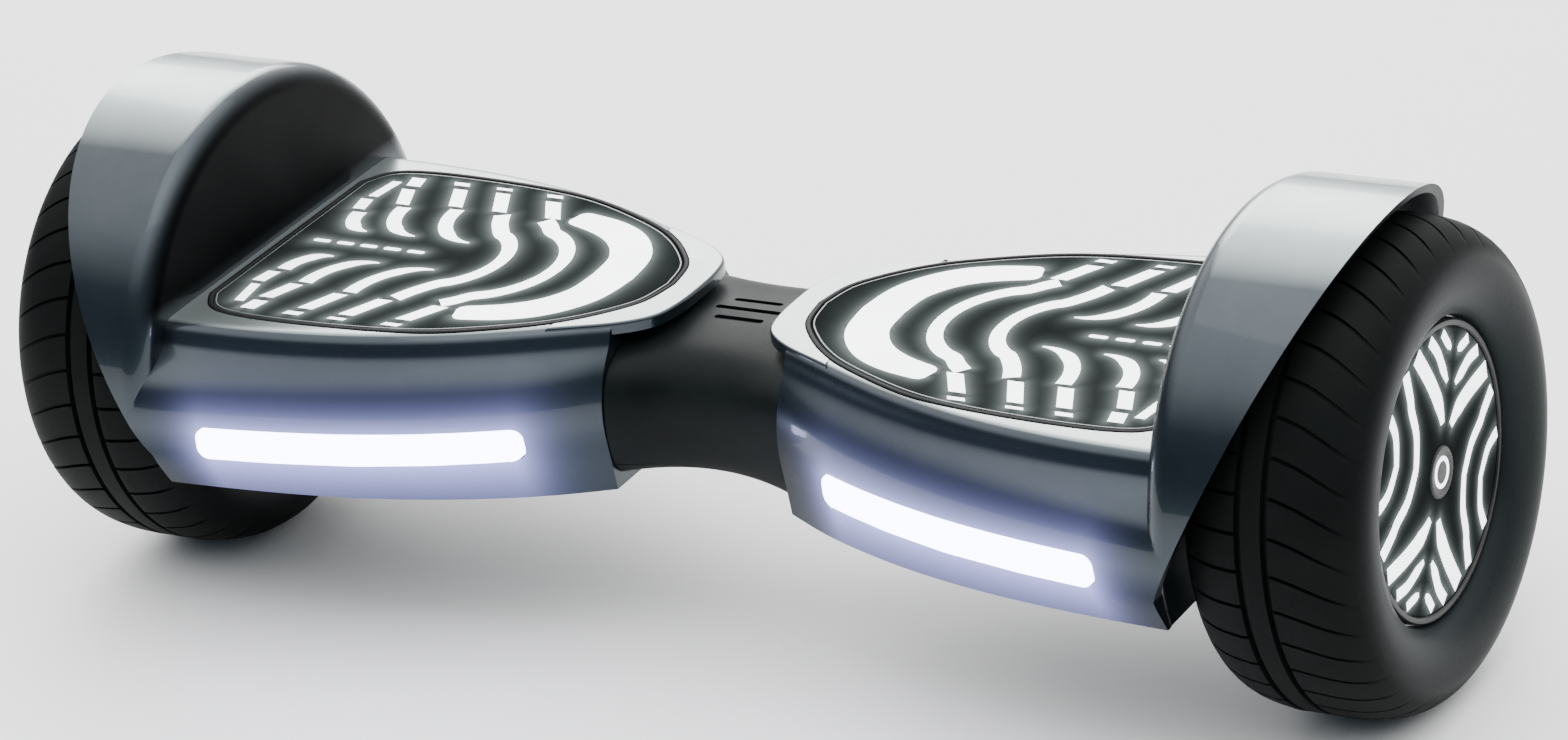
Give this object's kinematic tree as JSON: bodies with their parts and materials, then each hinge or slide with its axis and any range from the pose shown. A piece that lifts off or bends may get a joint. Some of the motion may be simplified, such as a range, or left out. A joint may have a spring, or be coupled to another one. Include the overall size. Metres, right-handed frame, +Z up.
{
  "type": "self balancing hoverboard",
  "caption": "Hinged two-wheel standing board with lit foot pads, fenders over hub-motor wheels, front light bars and a twisting waist.",
  "frame": {"origin": "on the ground, midway between the two wheels and under the waist", "axes": "+X along the wheel axle towards the right wheel, -Y towards the front with the light bars, +Z up"},
  "size_m": [0.686, 0.241, 0.2285],
  "materials": {
    "shell_paint": "metallic blue-grey gloss paint over moulded plastic",
    "cover_plastic": "fine matt grain",
    "waist_plastic": "satin",
    "trim_plastic": "satin",
    "pad_gloss": "gloss black with clear lit stripes",
    "light_panel": "milky light guide",
    "light_lens": "frosted lens, lit cool white",
    "soft_rubber": "matt",
    "tyre_rubber": "satin sidewall, matt tread",
    "cast_aluminium": "as cast",
    "steel": "turned",
    "copper_winding": "enamelled winding",
    "circuit_board": "solder mask",
    "battery_wrap": "blue wrapped metal cells",
    "bronze": "sintered bronze bush"
  },
  "bodies": {
    "left_half": {"left_top_shell": "shell_paint", "left_bottom_cover": "cover_plastic", "left_chassis": "cast_aluminium", "left_light_lens": "light_lens", "left_light_strip": "circuit_board", "left_sensor_board": "circuit_board", "left_pad_gasket": "soft_rubber", "left_axle": "steel", "left_axle_clamp": "cast_aluminium", "left_clamp_bolt_front": "steel", "left_clamp_bolt_rear": "steel", "left_stator": "copper_winding", "left_battery_pack": "battery_wrap", "waist_cover_upper": "waist_plastic", "waist_cover_lower": "waist_plastic", "pivot_tube": "steel", "pivot_lock_ring": "steel"},
    "left_pad": {"left_foot_pad": "pad_gloss", "left_pad_light_panel": "light_panel", "left_pad_plunger_front": "soft_rubber", "left_pad_plunger_rear": "soft_rubber"},
    "left_wheel": {"left_tyre": "tyre_rubber", "left_rim": "cast_aluminium", "left_motor_cover": "cast_aluminium", "left_hub_cap": "pad_gloss", "left_hub_bezel": "trim_plastic", "left_outer_bearing": "steel", "left_inner_bearing": "steel"},
    "right_half": {"right_top_shell": "shell_paint", "right_bottom_cover": "cover_plastic", "right_chassis": "cast_aluminium", "right_light_lens": "light_lens", "right_light_strip": "circuit_board", "right_sensor_board": "circuit_board", "right_pad_gasket": "soft_rubber", "right_axle": "steel", "right_axle_clamp": "cast_aluminium", "right_clamp_bolt_front": "steel", "right_clamp_bolt_rear": "steel", "right_stator": "copper_winding", "right_main_board": "circuit_board", "right_charge_socket": "trim_plastic", "right_power_switch": "trim_plastic", "pivot_bush_inner": "bronze", "pivot_bush_outer": "bronze", "pivot_limit_pin": "steel"},
    "right_pad": {"right_foot_pad": "pad_gloss", "right_pad_light_panel": "light_panel", "right_pad_plunger_front": "soft_rubber", "right_pad_plunger_rear": "soft_rubber"},
    "right_wheel": {"right_tyre": "tyre_rubber", "right_rim": "cast_aluminium", "right_motor_cover": "cast_aluminium", "right_hub_cap": "pad_gloss", "right_hub_bezel": "trim_plastic", "right_outer_bearing": "steel", "right_inner_bearing": "steel"},
    "power_button": {"right_power_button": "trim_plastic"},
    "charge_cap": {"right_charge_cap": "soft_rubber"}
  },
  "joints": [
    {"name": "waist_twist", "type": "hinge", "parent": "left_half", "child": "right_half", "pos_m": [0, 0, 0.108], "axis": [1, 0, 0], "range_deg": [-10, 10]},
    {"name": "left_wheel_spin", "type": "hinge", "parent": "left_half", "child": "left_wheel", "pos_m": [-0.301, 0, 0.108], "axis": [1, 0, 0], "continuous": true},
    {"name": "right_wheel_spin", "type": "hinge", "parent": "right_half", "child": "right_wheel", "pos_m": [0.301, 0, 0.108], "axis": [1, 0, 0], "continuous": true},
    {"name": "left_pad_press", "type": "slide", "parent": "left_half", "child": "left_pad", "axis": [0, 0, -1], "range_m": [0, 0.001], "stiffness_N_per_m": 20000},
    {"name": "right_pad_press", "type": "slide", "parent": "right_half", "child": "right_pad", "axis": [0, 0, -1], "range_m": [0, 0.001], "stiffness_N_per_m": 20000},
    {"name": "power_button_press", "type": "slide", "parent": "right_half", "child": "power_button", "axis": [0, -1, 0], "range_m": [0, 0.0012], "stiffness_N_per_m": 1500},
    {"name": "charge_cap_open", "type": "hinge", "parent": "right_half", "child": "charge_cap", "pos_m": [0.222, 0.117, 0.0955], "axis": [-1, 0, 0], "range_deg": [0, 110]}
  ]
}
